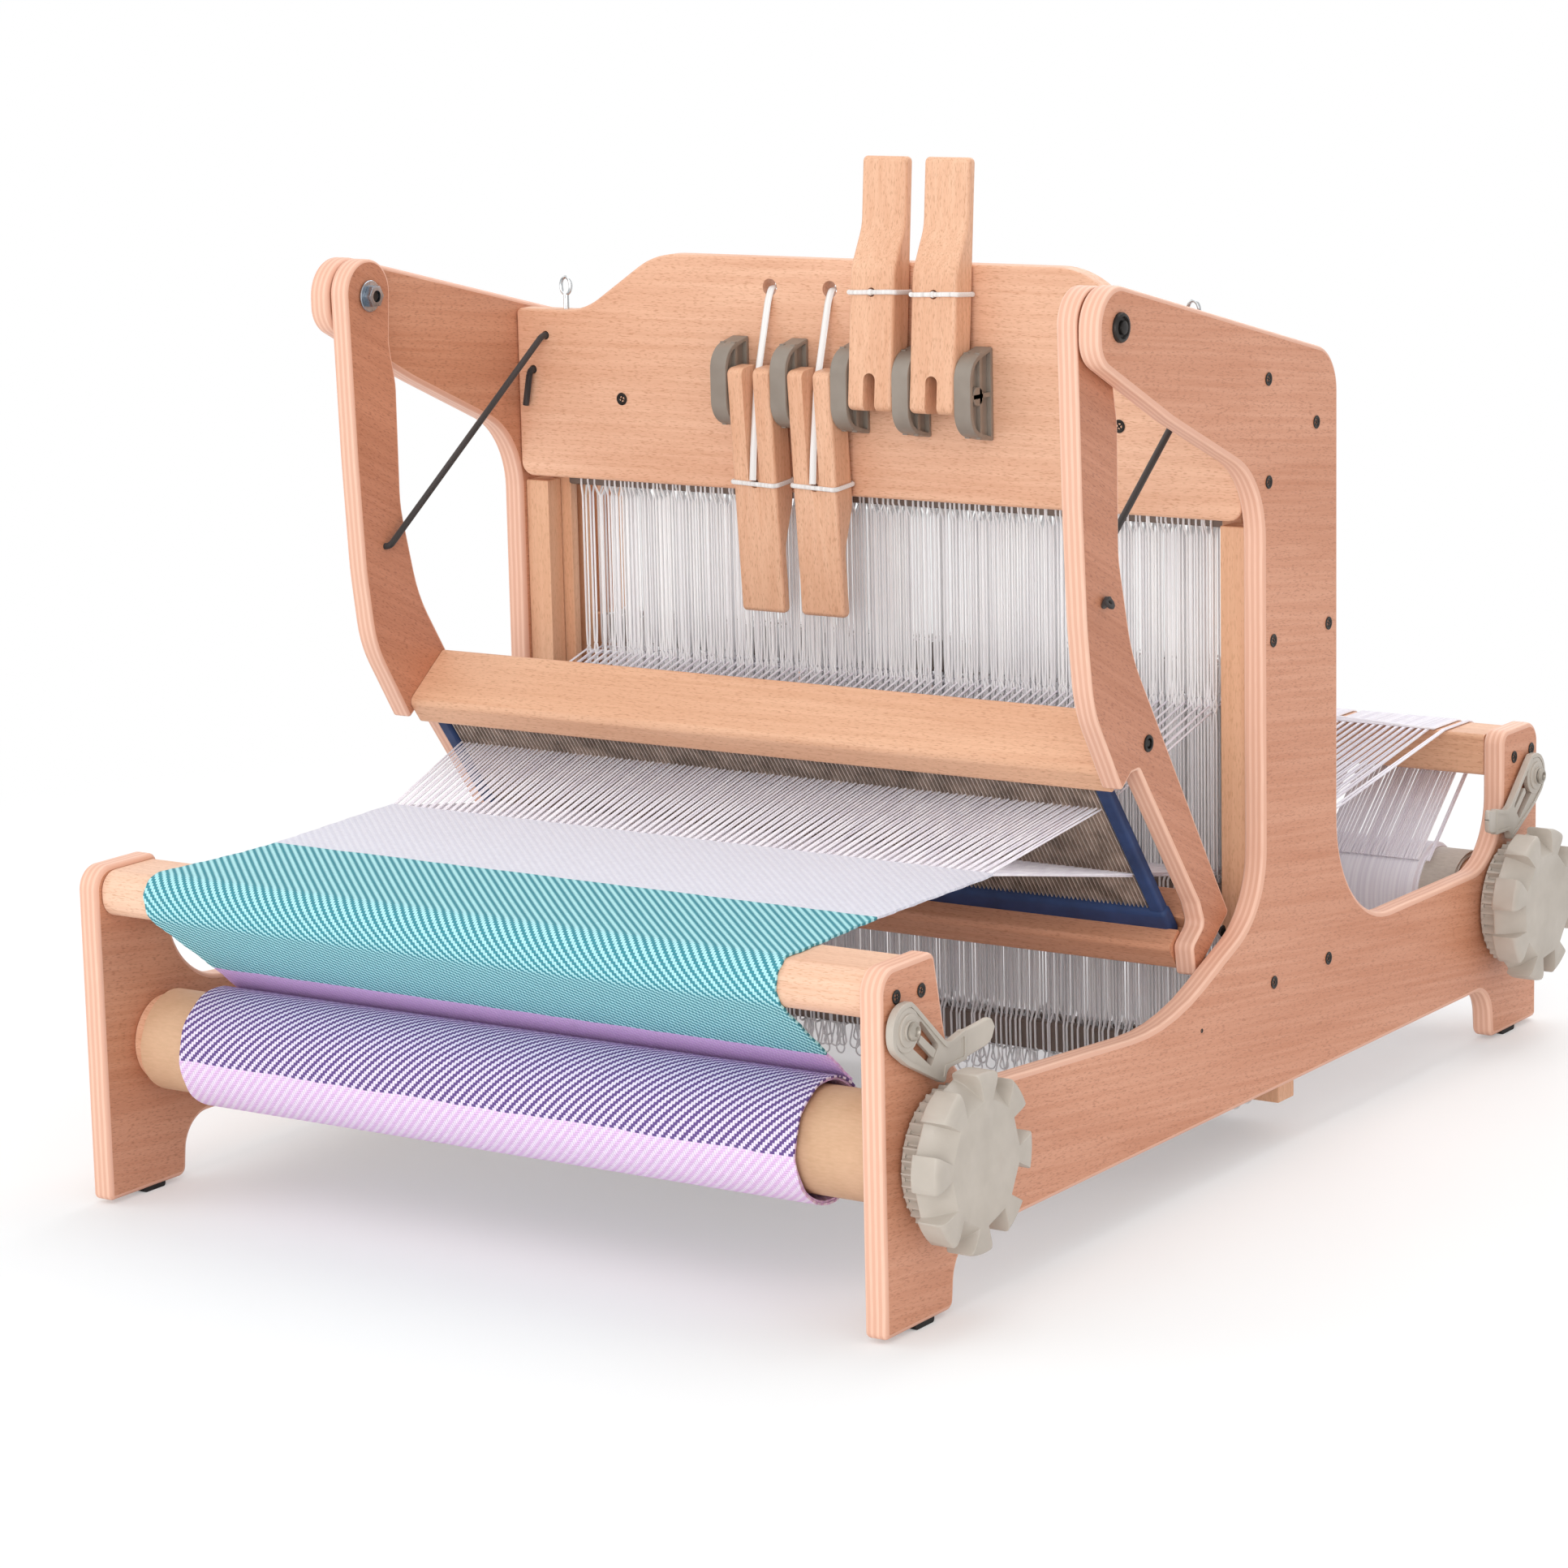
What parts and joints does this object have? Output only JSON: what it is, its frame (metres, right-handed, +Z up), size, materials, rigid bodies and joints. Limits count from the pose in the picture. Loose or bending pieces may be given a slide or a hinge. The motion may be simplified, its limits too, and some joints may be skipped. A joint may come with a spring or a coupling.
{
  "type": "table loom",
  "caption": "Table loom with a castle of levers and heddle shafts, swinging beater, cloth and warp rollers, and a warp in it.",
  "frame": {"origin": "middle of the loom's footprint, on the plane that its rubber feet rest on", "axes": "+X to the weaver's right, +Y from the weaver to the back beam, +Z up"},
  "size_m": [0.5002, 0.685, 0.5018],
  "materials": {
    "panel_plywood": "clear lacquered birch plywood, reddish",
    "pale_wood": "clear lacquered pale wood",
    "lever_wood": "clear lacquered wood",
    "guide_wood": "sanded wood",
    "bracket_plastic": "satin moulded plastic",
    "wheel_plastic": "satin moulded plastic",
    "reed_steel": "dull steel dents, taped ends",
    "dark_steel": "blackened steel",
    "pin_steel": "zinc plated wire",
    "rubber": "matt black rubber",
    "elastic": "braided shock cord",
    "white_cord": "white polyester cord",
    "warp_cotton": "white cotton yarn",
    "woven_cloth": "plain yarns in a diagonal twill",
    "rolled_cloth": "plain yarns in a diagonal twill",
    "kraft_paper": "brown wrapping paper",
    "grey_paper": "grey wrapping paper"
  },
  "bodies": {
    "frame": {"left_side_panel": "panel_plywood", "left_shaft_guide": "guide_wood", "left_front_rubber_foot": "rubber", "left_back_rubber_foot": "rubber", "left_split_pin": "pin_steel", "left_pivot_bolt": "dark_steel", "left_pivot_nut": "dark_steel", "left_elastic": "elastic", "right_side_panel": "panel_plywood", "right_shaft_guide": "guide_wood", "right_front_rubber_foot": "rubber", "right_back_rubber_foot": "rubber", "right_split_pin": "pin_steel", "right_pivot_bolt": "dark_steel", "right_pivot_nut": "dark_steel", "right_elastic": "elastic", "breast_beam": "pale_wood", "back_beam": "pale_wood", "castle_front_board": "pale_wood", "castle_cord_rail": "pale_wood", "cloth": "woven_cloth", "warp": "warp_cotton", "front_pawl_screw": "dark_steel", "back_pawl_screw": "dark_steel", "lift_cord_1": "white_cord", "lift_cord_2": "white_cord", "lift_cord_3": "white_cord", "lift_cord_4": "white_cord", "lever_bracket_1": "bracket_plastic", "lever_bracket_2": "bracket_plastic", "lever_bracket_3": "bracket_plastic", "lever_bracket_4": "bracket_plastic", "lever_bracket_5": "bracket_plastic"},
    "beater": {"left_beater_arm": "panel_plywood", "right_beater_arm": "panel_plywood", "beater_top_rail": "pale_wood", "beater_bottom_rail": "pale_wood", "reed": "reed_steel"},
    "cloth_beam": {"cloth_roller": "pale_wood", "front_ratchet_wheel": "wheel_plastic", "cloth_roller_paper": "kraft_paper", "cloth_roll": "rolled_cloth"},
    "warp_beam": {"warp_roller": "pale_wood", "back_ratchet_wheel": "wheel_plastic", "warp_roller_paper": "grey_paper", "warp_roll": "warp_cotton"},
    "front_pawl": {"front_pawl": "wheel_plastic"},
    "back_pawl": {"back_pawl": "wheel_plastic"},
    "shaft_1": {"shaft_1": "guide_wood", "heddles_1": "white_cord"},
    "lever_1": {"lever_1": "lever_wood"},
    "shaft_2": {"shaft_2": "guide_wood", "heddles_2": "white_cord"},
    "lever_2": {"lever_2": "lever_wood"},
    "shaft_3": {"shaft_3": "guide_wood", "heddles_3": "white_cord"},
    "lever_3": {"lever_3": "lever_wood"},
    "shaft_4": {"shaft_4": "guide_wood", "heddles_4": "white_cord"},
    "lever_4": {"lever_4": "lever_wood"}
  },
  "joints": [
    {"name": "beater_swing", "type": "hinge", "parent": "frame", "child": "beater", "pos_m": [-0.01185, -0.1245, 0.435], "axis": [-1, 0, 0], "range_deg": [-2.5, 14], "stiffness_Nm_per_rad": 4, "springref_deg": -10.31, "deforming": ["left_elastic", "right_elastic", "warp"]},
    {"name": "shaft_1_slide", "type": "slide", "parent": "frame", "child": "shaft_1", "axis": [0, 0, -1], "range_m": [0, 0.092], "deforming": ["warp", "lift_cord_1"]},
    {"name": "shaft_2_slide", "type": "slide", "parent": "frame", "child": "shaft_2", "axis": [0, 0, -1], "range_m": [0, 0.092], "deforming": ["warp", "lift_cord_2"]},
    {"name": "shaft_3_slide", "type": "slide", "parent": "frame", "child": "shaft_3", "axis": [0, 0, 1], "range_m": [0, 0.092], "deforming": ["warp", "lift_cord_3"]},
    {"name": "shaft_4_slide", "type": "slide", "parent": "frame", "child": "shaft_4", "axis": [0, 0, 1], "range_m": [0, 0.092], "deforming": ["warp", "lift_cord_4"]},
    {"name": "lever_1_swing", "type": "hinge", "parent": "frame", "child": "lever_1", "pos_m": [-0.0681, 0.003, 0.382], "axis": [-1, 0, 0], "range_deg": [0, 189], "deforming": ["lift_cord_1"]},
    {"name": "lever_2_swing", "type": "hinge", "parent": "frame", "child": "lever_2", "pos_m": [-0.0306, 0.003, 0.382], "axis": [-1, 0, 0], "range_deg": [0, 189], "deforming": ["lift_cord_2"]},
    {"name": "lever_3_swing", "type": "hinge", "parent": "frame", "child": "lever_3", "pos_m": [0.0069, 0.003, 0.382], "axis": [1, 0, 0], "range_deg": [0, 189], "deforming": ["lift_cord_3"]},
    {"name": "lever_4_swing", "type": "hinge", "parent": "frame", "child": "lever_4", "pos_m": [0.0444, 0.003, 0.382], "axis": [1, 0, 0], "range_deg": [0, 189], "deforming": ["lift_cord_4"]},
    {"name": "cloth_beam_spin", "type": "hinge", "parent": "frame", "child": "cloth_beam", "pos_m": [-0.01185, -0.2985, 0.0775], "axis": [1, 0, 0], "continuous": true},
    {"name": "warp_beam_spin", "type": "hinge", "parent": "frame", "child": "warp_beam", "pos_m": [-0.01185, 0.2985, 0.0775], "axis": [1, 0, 0], "continuous": true},
    {"name": "front_pawl_lift", "type": "hinge", "parent": "frame", "child": "front_pawl", "pos_m": [0.22815, -0.3285, 0.143], "axis": [1, 0, 0], "range_deg": [0, 70]},
    {"name": "back_pawl_lift", "type": "hinge", "parent": "frame", "child": "back_pawl", "pos_m": [0.22815, 0.3285, 0.143], "axis": [-1, 0, 0], "range_deg": [0, 70]}
  ],
  "couplings": [
    {"joint": "lever_1_swing", "follows": "shaft_1_slide", "rad_per_m": 35.8},
    {"joint": "lever_2_swing", "follows": "shaft_2_slide", "rad_per_m": 35.8},
    {"joint": "lever_3_swing", "follows": "shaft_3_slide", "rad_per_m": 35.8},
    {"joint": "lever_4_swing", "follows": "shaft_4_slide", "rad_per_m": 35.8}
  ]
}
